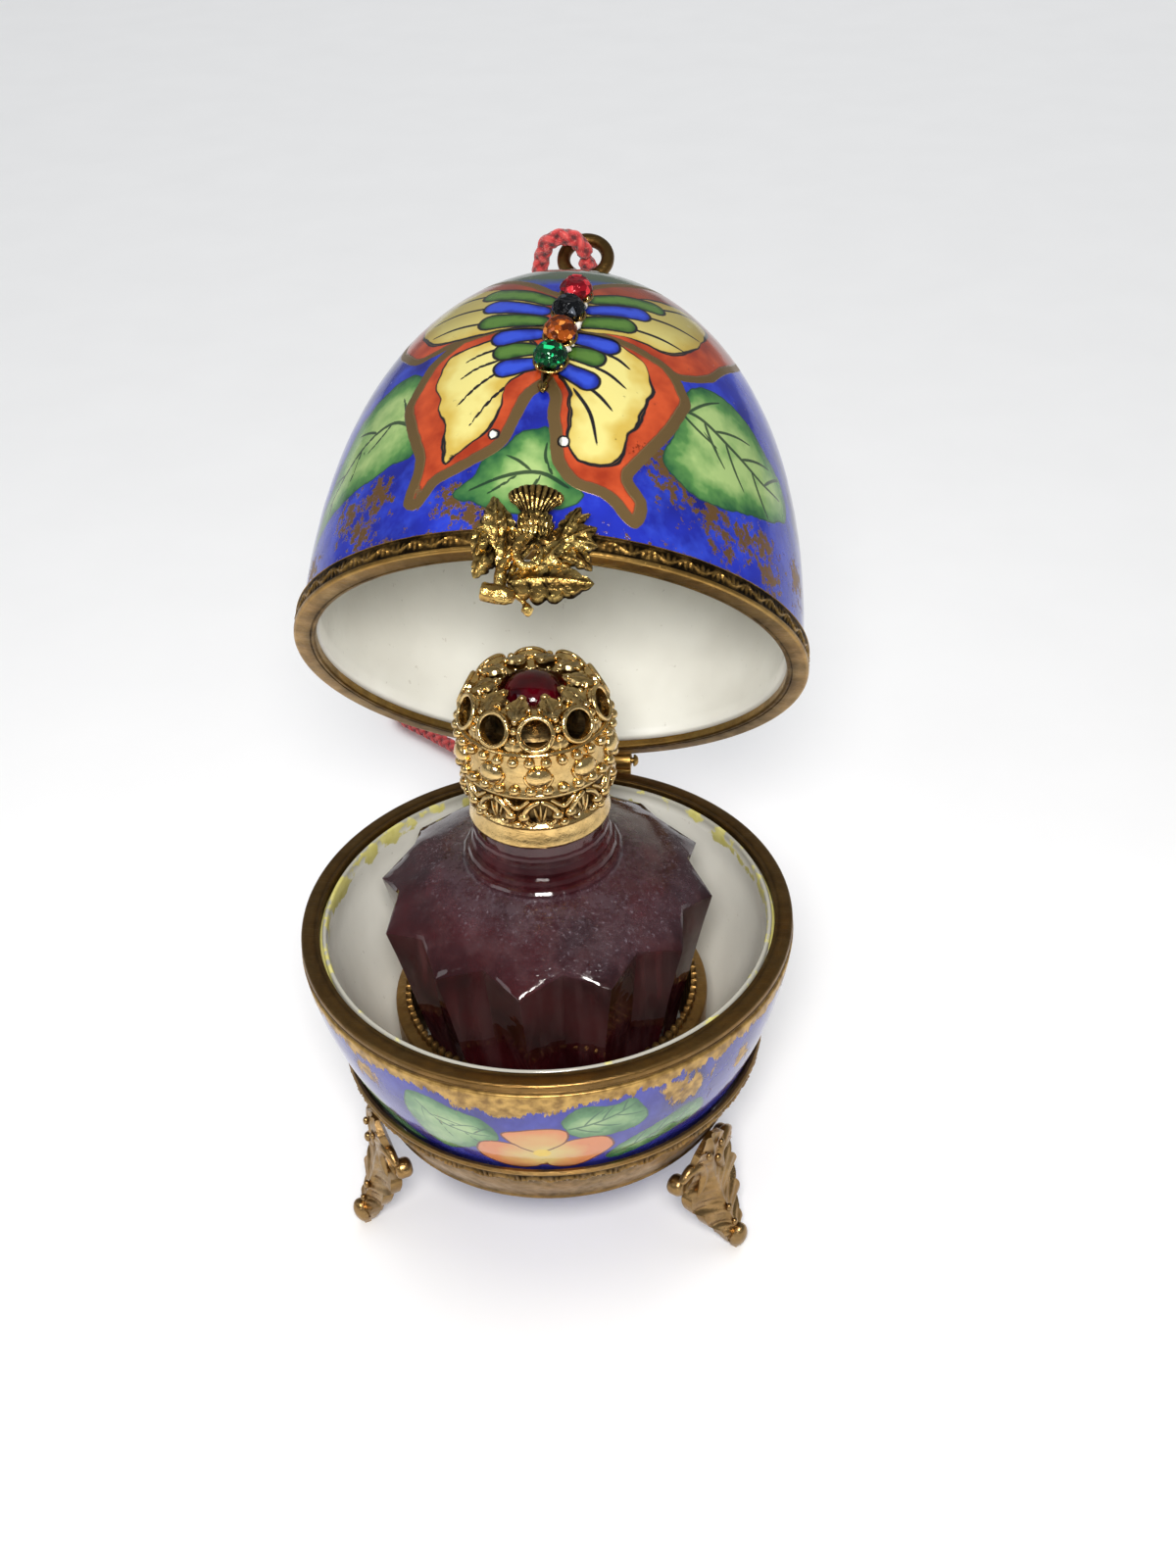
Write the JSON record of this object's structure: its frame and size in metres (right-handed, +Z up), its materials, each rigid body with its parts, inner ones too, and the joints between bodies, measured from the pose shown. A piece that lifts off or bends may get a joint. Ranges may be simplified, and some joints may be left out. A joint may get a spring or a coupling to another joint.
{
  "type": "hinged egg box with perfume bottle",
  "caption": "Painted porcelain egg box on cast brass feet, its lid hinged open over a faceted glass perfume bottle with a gilt cap.",
  "frame": {"origin": "on the table below the middle of the open egg's overall width and depth, without its cord", "axes": "+Z up along the bowl's own axis, -Y to the front, where the clasp is, and +X to the right seen from the front"},
  "size_m": [0.0808, 0.1526, 0.1193],
  "materials": {
    "bowl_porcelain": "hand painted flowers and leaves on blue under a gloss glaze, white inside",
    "lid_porcelain": "hand painted butterfly and leaves on blue under a gloss glaze, white inside",
    "rim_brass": "aged and worn",
    "mount_brass": "chased and aged",
    "base_brass": "chased and aged",
    "foot_brass": "cast, worn gilt",
    "holder_brass": "aged",
    "hinge_brass": "plain",
    "cap_gilt": "bright polished gilt",
    "clasp_gilt": "old gilt",
    "bottle_glass": "cut, dark amethyst, frosted shoulder",
    "red_glass": "polished",
    "black_glass": "polished",
    "amber_glass": "faceted",
    "green_glass": "faceted",
    "red_cord": "plaited"
  },
  "bodies": {
    "base": {"bowl": "bowl_porcelain", "bowl_rim": "rim_brass", "base_ring": "base_brass", "foot_left": "foot_brass", "foot_right": "foot_brass", "foot_back": "foot_brass", "holder_ring": "holder_brass", "bottle": "bottle_glass", "cap": "cap_gilt", "cap_jewel": "red_glass", "bowl_hinge": "hinge_brass", "hinge_pin": "hinge_brass"},
    "lid": {"lid": "lid_porcelain", "lid_rim": "mount_brass", "lid_hinge": "hinge_brass", "clasp": "clasp_gilt", "jewel_setting": "clasp_gilt", "stone_red": "red_glass", "stone_black": "black_glass", "stone_amber": "amber_glass", "stone_green": "green_glass", "top_loop": "mount_brass", "cord": "red_cord"}
  },
  "joints": [
    {"name": "lid_hinge", "type": "hinge", "parent": "base", "child": "lid", "pos_m": [0, 0.01545, 0.04658], "axis": [1, 0, 0], "range_deg": [0, 55.4]}
  ]
}
